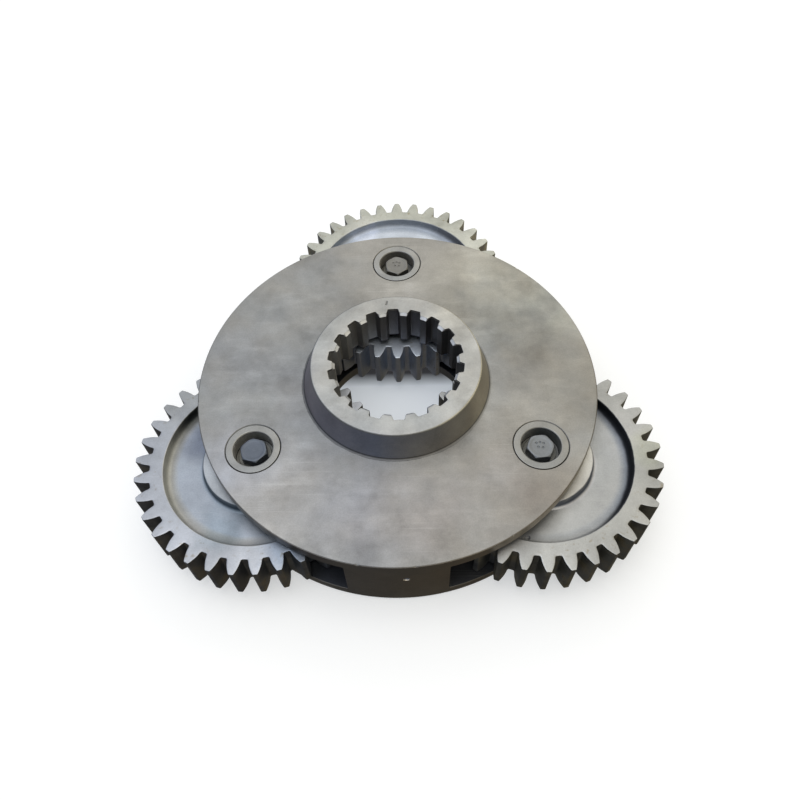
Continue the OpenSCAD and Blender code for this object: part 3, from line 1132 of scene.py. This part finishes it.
def shaded_foot_line(s, base):
    """Painted shade: a thin dark line on the plate round the hub's foot, fainter on the right."""
    wobble = s.math("MULTIPLY", s.math("SUBTRACT", s.noise(150, 3), 0.5), 1.2 * MM)
    ragged = s.math("ADD", s.radius(), wobble)
    foot = s.all_of(
        s.within(s.axis("Z"), PLATE_TOP - 0.2, PLATE_TOP + 1.0),
        s.within(ragged, HUB_FOOT_R - 0.7, HUB_FOOT_R + 1.1),
        s.along("X", 50, (10, 1.0), (40, 0.35)),
    )
    return s.times(foot, base, FOOT_SHADE)


def carrier_steel():
    s = Shader("carrier_steel")
    base, clouds = stained(s, CARRIER_COLOUR)
    base = blotches(s, base, PLATE_BLOTCHES)
    base = hub_tones(s, base)
    # Painted shade between the plates
    inside = s.zone((LOWER_T - 0.5, CEILING + 0.5), (0, PLATE_R - 0.4))
    base = s.times(inside, base, INSIDE_SHADE)
    base = rim_tones(s, base)
    base = shaded_foot_line(s, base)
    return finished(s, base, clouds, CARRIER_COLOUR, 0.48, 0.6)


def gear_zones(s, tones, ragged, front, ring):
    """A planet gear's colour by distance from its axis: boss, recess floor, edge and wall, and rim, in tones
    set per side as painted light and shade.
    """
    zones = s.outwards(
        ragged,
        100,
        (GEAR_BORE_R + 2, tones["boss"]),
        (BOSS_R + 0.15, tones["boss"]),
        # Painted shade on the boss's wall and at its foot; on the right gear the foot has a painted
        # highlight
        (BOSS_R + 0.55, tones["boss_wall"]),
        (BOSS_R + 1.25, tones["boss_wall"]),
        (BOSS_R + 2.05, tones["boss_foot"]),
        (BOSS_R + 3.75, shade(tones["floor"], 0.97)),
        (RECESS_R - 6, tones["floor"]),
        (RECESS_R - 2.5, tones["edge"]),
        # The recess wall's colour is a painted reflection
        (tones["wall_from"], tones["wall"]),
        (RECESS_R + 0.5, tones["wall"]),
        (RECESS_R + 1.2, tones["rim"]),
        (GEAR_TIP_R - 3, shade(tones["rim"], 0.98)),
        (GEAR_TIP_R + 0.3, shade(tones["rim"], 1.08)),
    )
    # Painted light on the front of the recess edge
    zones = s.mix(s.all_of(front, ring), zones, tones["front_edge"])
    # Painted shade darkens one end of the recess wall
    axis, start, full, inner, end_shade = tones["end_wall"]
    wall = s.outwards(ragged, 100, (inner, 0), (RECESS_R - 0.3, 1), (RECESS_R + 0.7, 1), (RIM_FROM, 0))
    zones = s.mix(s.all_of(s.along(axis, 50, (start, 0), (full, 1)), wall), zones, end_shade)
    # Painted light on the front of the rim
    outer = s.math("GREATER_THAN", ragged, RIM_FROM * MM)
    zones = s.mix(s.all_of(front, outer), zones, tones["front_rim"])
    return blotches(s, zones, tones["blotches"])


def specks_oil_and_flank_light(s, base, tones, front):
    """Adds small brown specks on a gear's rim and oil on its flanks, with painted light on the flanks: a
    tone per side, brighter patches and a front tone.
    """
    specks = s.all_of(
        s.ramp(s.noise(330, 3, 0.6), (0.60, 0), (0.68, 1)),
        s.ramp(s.noise(30, 2), (0.46, 0), (0.60, 1)),
        s.math("GREATER_THAN", s.radius(), (RECESS_R + 1) * MM),
    )
    base = s.times(specks, base, (0.78, 0.72, 0.62))
    # The flank tone, its patches and the front flank tone are painted light over the oil
    oil_and_light = s.product(s.ramp(s.noise(90, 3), *OIL_COLOURS), tones["flank"])
    oil_and_light = blotches(s, oil_and_light, tones["flank_blotches"])
    if tones["front_flank"]:
        oil_and_light = s.mix(front, oil_and_light, tones["front_flank"])
    flank = s.all_of(steepness(s), s.within(s.radius(), RECESS_R + 2, GEAR_TIP_R + 7))
    return s.times(flank, base, oil_and_light)


def gear_steel(side):
    """A planet gear in tones set per side as painted light and shade, with clouds, specks, oily flanks under
    painted light and a duller recess edge.
    """
    tones = GEAR_COLOUR_AND_LIGHT[side]
    s = Shader(f"gear_steel_{side}")
    ragged = s.math("ADD", s.radius(), s.math("MULTIPLY", s.noise(120, 3), 1.2 * MM))
    front = s.along("Y", 50, (-42, 1), (-24, 0))
    ring = s.outwards(
        ragged, 100, (RECESS_R - 6, 0), (RECESS_R - 2.5, 1), (RECESS_R + 0.7, 1), (RIM_FROM, 0)
    )
    clouds = s.noise(38, 6, 0.6)
    base = gear_zones(s, tones, ragged, front, ring)
    base = s.product(base, s.ramp(clouds, (0.35, 0.84), (0.65, 1.12)))
    base = specks_oil_and_flank_light(s, base, tones, front)
    base, grain, marks = worn(s, base, (0.42, 0.42, 0.42))
    rough = s.ramp(clouds, (0.35, 0.50), (0.65, 0.40))
    rough = s.mix(s.math("MULTIPLY", ring, 0.8), rough, (0.75, 0.75, 0.75))
    surface(s, base, rough, grain, 0.5)
    return s.material


def pale_floor():
    """A pale floor with painted shade, a little darker and cooler, under the carrier, and a soft painted
    shadow under the rear gear.
    """
    s = Shader("pale_floor")
    shadow = s.all_of(
        s.along("Y", 50, (24.5, 0), (34, 1)),
        s.outwards(s.radius(), 100, (90, 1), (100, 0)),
    )
    shaded_glow = s.outwards(s.radius(), 200, (40, (0.74, 0.81, 0.89)), (104, (0.96, 0.98, 1.0)))
    s.settings(
        Base_Color=s.mix(shadow, (0.62, 0.62, 0.62), (0.12, 0.125, 0.14)),
        Roughness=0.9,
        Specular_IOR_Level=0.1,
        Emission_Color=s.mix(shadow, shaded_glow, (0.06, 0.06, 0.065)),
        Emission_Strength=0.45,
    )
    return s.material


def pale_wall():
    s = Shader("pale_wall")
    s.settings(
        Base_Color=(0, 0, 0, 1),
        Specular_IOR_Level=0.0,
        Emission_Color=(0.98, 0.99, 1.0, 1),
        Emission_Strength=0.9,
    )
    return s.material


# -------------------------------- putting it together


def dress(obj, material):
    obj.data.materials.clear()
    obj.data.materials.append(material)


def finish_piece(obj, material, body, slot, *nodes):
    dress(obj, material)
    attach(obj, body)
    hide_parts(*nodes)


def dress_node(node, material):
    """Gives a carried-over CAD node its material."""
    obj = frame["nodes"][node]
    dress(obj, material)
    for slot in obj.material_slots:
        slot.material = material


def build_planet(side, outline, washer_steel, bronze):
    """One planet gear with its pin, bolt and washers."""
    gear = build_gear(side, outline)
    finish_piece(gear, gear_steel(side), f"planet_{side}", "gear_steel", f"planet_gear_{side}")
    turned_pieces = [
        (build_pin(side), pin_steel(side), "pin_steel", f"planet_pin_{side}"),
        (build_bolt_washer(side), washer_steel, "washer_steel", f"bolt_washer_{side}"),
        (build_thrust_washer("upper", side), bronze, "thrust_bronze", f"thrust_washer_upper_{side}"),
        (build_thrust_washer("lower", side), bronze, "thrust_bronze", f"thrust_washer_lower_{side}"),
    ]
    for obj, material, slot, node in turned_pieces:
        smooth(obj)
        finish_piece(obj, material, "carrier", slot, node)
    bolt_steel = steel(f"bolt_steel_{side}", BOLT_COLOUR[side], 0.45)
    finish_piece(build_bolt(side), bolt_steel, "carrier", "bolt_steel", f"pin_bolt_{side}")


def build_all():
    washer_steel = steel("washer_steel", (0.15, 0.15, 0.142), 0.5)
    roller_steel = steel("roller_steel", (0.62, 0.62, 0.62), 0.2)
    cage_steel = steel("cage_steel", (0.38, 0.38, 0.36), 0.45)
    bronze = steel("thrust_bronze", (0.50, 0.36, 0.17), 0.42)

    finish_piece(build_carrier(), carrier_steel(), "carrier", "carrier_steel", "carrier", "splined_hub")
    outline = gear_outline()
    for side in SIDES:
        build_planet(side, outline, washer_steel, bronze)
        dress_node(f"roller_cage_{side}", cage_steel)
        dress_node(f"needle_rollers_{side}", roller_steel)


def add_floor():
    reach = 2500
    corners = [(-reach, -reach, 0), (reach, -reach, 0), (reach, reach, 0), (-reach, reach, 0)]
    floor = mesh_piece("floor", corners, [(0, 1, 2, 3)])
    dress(floor, pale_floor())
    floor.visible_glossy = False


def add_backdrop():
    """A pale round wall that curves up from the floor behind everything and doesn't light anything."""
    foot_r = 2200
    bend_r = 250
    section = []
    for a in (0, 0.4, 0.8, 1.2, math.pi / 2):
        section.append(Vector((foot_r + bend_r * math.sin(a), 1 + bend_r * (1 - math.cos(a)))))
    section += [Vector((foot_r + bend_r, 2500)), Vector((1500, 3000))]
    points, faces = skin(section_rings(section, even_angles(96)), joined=False)
    wall = mesh_piece("backdrop", points, faces[:-2])  # without its two caps
    dress(wall, pale_wall())
    for ray in ("diffuse", "glossy", "transmission", "shadow", "volume_scatter"):
        setattr(wall, f"visible_{ray}", False)


def area_light(name, place, target, size, power, colour):
    """A soft rectangular light, in metres and watts, aimed at a target."""
    light = bpy.data.lights.new(name, "AREA")
    light.shape = "RECTANGLE"
    light.size, light.size_y = size
    light.energy = power
    light.color = colour
    obj = placed(name, light, place)
    obj.rotation_euler = (Vector(target) - Vector(place)).to_track_quat("-Z", "Y").to_euler()


def add_light():
    """A pale room, bright above, dark below and cooler on the left, with two soft lights in it."""
    world = bpy.data.worlds.new("studio")
    bpy.context.scene.world = world
    world.use_nodes = True
    n = Nodes(world.node_tree)
    direction = n.add("ShaderNodeTexCoord").outputs["Generated"]
    split = n.add("ShaderNodeSeparateXYZ", Vector=direction)
    across, away, upwards = [n.scaled(split.outputs[letter], 0.5) for letter in "XYZ"]
    behind = n.ramp(away, (0.55, 0), (0.80, 1))
    room = n.mix(behind, n.ramp(upwards, *FRONT_LEVELS), n.ramp(upwards, *BACK_LEVELS))
    room = n.product(room, n.ramp(across, *SIDE_TINTS))
    background = n.add("ShaderNodeBackground", Color=room)
    n.add("ShaderNodeOutputWorld", Surface=background.outputs[0])
    middle = (0, 0, 0.03)
    area_light("overhead", (-0.15, 0.1, 1.2), middle, (0.7, 0.7), 3, (1.0, 1.0, 1.0))
    area_light("back", (0.15, 0.95, 0.85), middle, (0.7, 0.6), 1.5, (1.0, 0.98, 0.95))


def add_camera():
    """The main view: from the front, about 56 degrees above the plate."""
    data = bpy.data.cameras.new("camera")
    data.sensor_width = 36
    data.lens = 33.47
    data.clip_start = 0.01
    camera = placed("camera", data, Vector((9.8, -229.1, PLATE_TOP + 325.8)) * MM)
    camera.rotation_euler = [math.radians(a) for a in (33.43, 1.454, -0.075)]
    bpy.context.scene.camera = camera


add_camera()
build_all()
add_floor()
add_backdrop()
add_light()
bpy.context.scene.view_settings.view_transform = "Standard"
